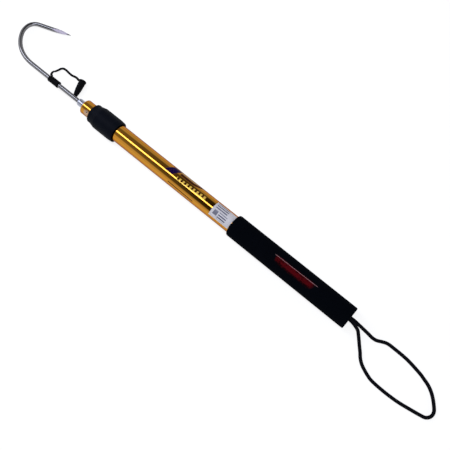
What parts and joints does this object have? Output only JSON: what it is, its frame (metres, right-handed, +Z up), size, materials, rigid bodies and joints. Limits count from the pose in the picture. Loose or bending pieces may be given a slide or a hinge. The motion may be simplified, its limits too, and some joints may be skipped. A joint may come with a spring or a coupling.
{
  "type": "telescopic fishing gaff",
  "caption": "Telescopic hand gaff for landing fish: a bent steel hook on a tube that slides out of a gripped main tube, with a twist lock, wrist lanyard and point cap.",
  "frame": {"origin": "on the surface that the gaff lies on, under the middle of the gaff without its lanyard", "axes": "+X along the tubes from the hook to the foot, +Y to the side that the hook's point lies on, +Z up"},
  "size_m": [0.768, 0.1179, 0.032],
  "materials": {
    "gold_anodised": "drawn aluminium tube, bright gold anodised",
    "stainless": "polished stainless wire, ground bright at the point",
    "bare_aluminium": "turned aluminium, bare",
    "pin_steel": "steel pin, its end dull",
    "collar_plastic": "moulded black plastic, satin",
    "black_plastic": "moulded black plastic, matt",
    "black_rubber": "moulded soft rubber, matt",
    "white_nylon": "natural nylon",
    "brass": "turned brass",
    "grip_foam": "black closed-cell foam, fine pores",
    "black_cord": "braided black cord",
    "label_paper": "plain white label"
  },
  "bodies": {
    "pole": {"outer_tube": "gold_anodised", "grip": "grip_foam", "butt_plug": "black_plastic", "butt_buffer": "black_rubber", "lanyard": "black_cord", "lanyard_knot": "black_cord", "thread_ferrule": "bare_aluminium", "collet": "white_nylon", "stop_sleeve": "white_nylon", "label": "label_paper"},
    "lock_slide": {"thrust_ring": "brass"},
    "lock": {"lock_collar": "collar_plastic", "wiper_ring": "black_rubber", "collar_retainer": "collar_plastic"},
    "guide": {"guide_ring": "white_nylon"},
    "hook_section": {"inner_tube": "gold_anodised", "end_plug": "white_nylon", "end_plug_rivet": "bare_aluminium", "hook_plug": "bare_aluminium", "cross_pin": "pin_steel", "hook": "stainless"},
    "guard": {"guard_band": "black_rubber", "guard_strap": "black_rubber", "point_cap": "black_rubber"}
  },
  "joints": [
    {"name": "telescope", "type": "slide", "parent": "pole", "child": "guide", "axis": [-1, 0, 0], "range_m": [0, 0.3045]},
    {"name": "hook_turn", "type": "hinge", "parent": "guide", "child": "hook_section", "pos_m": [0.27497, -0.02928, 0.016], "axis": [1, 0, 0], "continuous": true},
    {"name": "lock_travel", "type": "slide", "parent": "pole", "child": "lock_slide", "axis": [-1, 0, 0], "range_m": [0, 0.0015]},
    {"name": "lock_turn", "type": "hinge", "parent": "lock_slide", "child": "lock", "pos_m": [-0.12388, -0.02928, 0.016], "axis": [-1, 0, 0], "range_deg": [0, 270]},
    {"name": "guard_turn", "type": "hinge", "parent": "hook_section", "child": "guard", "pos_m": [-0.20623, -0.02928, 0.016], "axis": [1, 0, 0], "continuous": true}
  ],
  "couplings": [
    {"joint": "lock_travel", "follows": "lock_turn", "m_per_rad": 0.000318}
  ]
}
